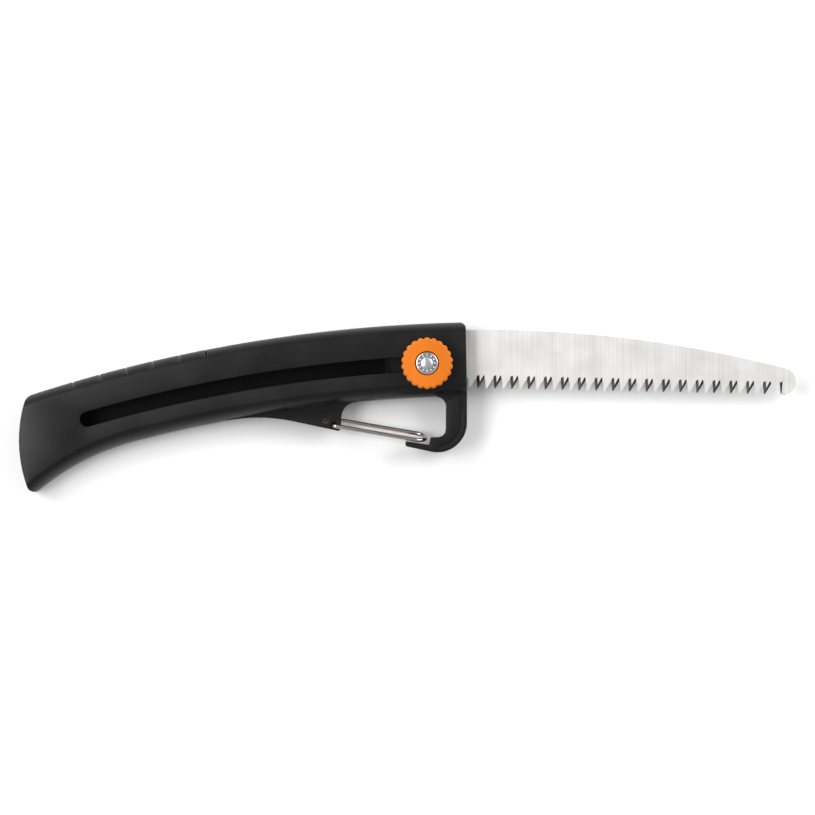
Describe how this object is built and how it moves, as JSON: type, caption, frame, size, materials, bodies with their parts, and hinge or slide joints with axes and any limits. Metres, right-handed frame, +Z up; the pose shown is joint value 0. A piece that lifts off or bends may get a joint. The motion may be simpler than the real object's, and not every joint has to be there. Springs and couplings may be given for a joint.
{
  "type": "retracting pruning saw",
  "caption": "Slim curved hand saw whose toothed blade slides out of a curved handle and is clamped by a knob, with a sprung carabiner gate for a belt loop.",
  "frame": {"origin": "on the back shell's flat resting face, straight under the clamp knob with the blade locked out", "axes": "+Z up from the resting face to the clamp knob, +X towards the blade's tip, +Y towards the blade's back"},
  "size_m": [0.3807, 0.0832, 0.0312],
  "materials": {
    "handle_shell": "fine moulded satin black",
    "blade_steel": "ground across the blade",
    "carriage": "moulded dark grey",
    "knob": "moulded satin orange",
    "bolt_steel": "bright plated",
    "zinc_steel": "zinc plated",
    "gate_wire": "polished stainless wire",
    "screw_steel": "dark zinc",
    "rivet": "plain"
  },
  "bodies": {
    "handle": {"knob_side_shell": "handle_shell", "back_shell": "handle_shell", "shell_screw_1": "screw_steel", "shell_screw_2": "screw_steel", "shell_screw_3": "screw_steel", "shell_screw_4": "screw_steel", "shell_screw_5": "screw_steel"},
    "blade_carriage": {"blade": "blade_steel", "guide_shoe": "carriage", "blade_carrier": "carriage", "clamp_nut": "zinc_steel", "carrier_rivet_1": "rivet", "carrier_rivet_2": "rivet", "carrier_rivet_3": "rivet", "carrier_rivet_4": "rivet"},
    "clamp_washers": {"thrust_washer": "zinc_steel", "spring_washer": "zinc_steel"},
    "clamp_knob": {"knob": "knob", "clamp_bolt": "bolt_steel", "bolt_stop_ring": "zinc_steel"},
    "gate": {"wire_gate": "gate_wire"}
  },
  "joints": [
    {"name": "blade_slide", "type": "hinge", "parent": "handle", "child": "blade_carriage", "pos_m": [0.03242, -0.71667, 0.011], "axis": [0, 0, 1], "range_deg": [0, 13.02]},
    {"name": "washer_rise", "type": "slide", "parent": "blade_carriage", "child": "clamp_washers", "axis": [0, 0, 1], "range_m": [0, 0.0008]},
    {"name": "knob_turn", "type": "hinge", "parent": "clamp_washers", "child": "clamp_knob", "pos_m": [0, 0, 0.022], "axis": [0, 0, 1], "range_deg": [0, 360]},
    {"name": "gate_swing", "type": "hinge", "parent": "handle", "child": "gate", "pos_m": [-0.0478, -0.0294, 0.011], "axis": [0, 0, 1], "range_deg": [0, 18], "stiffness_Nm_per_rad": 0.3, "springref_deg": -8.59}
  ],
  "couplings": [
    {"joint": "washer_rise", "follows": "knob_turn", "m_per_rad": 0.00012732}
  ]
}
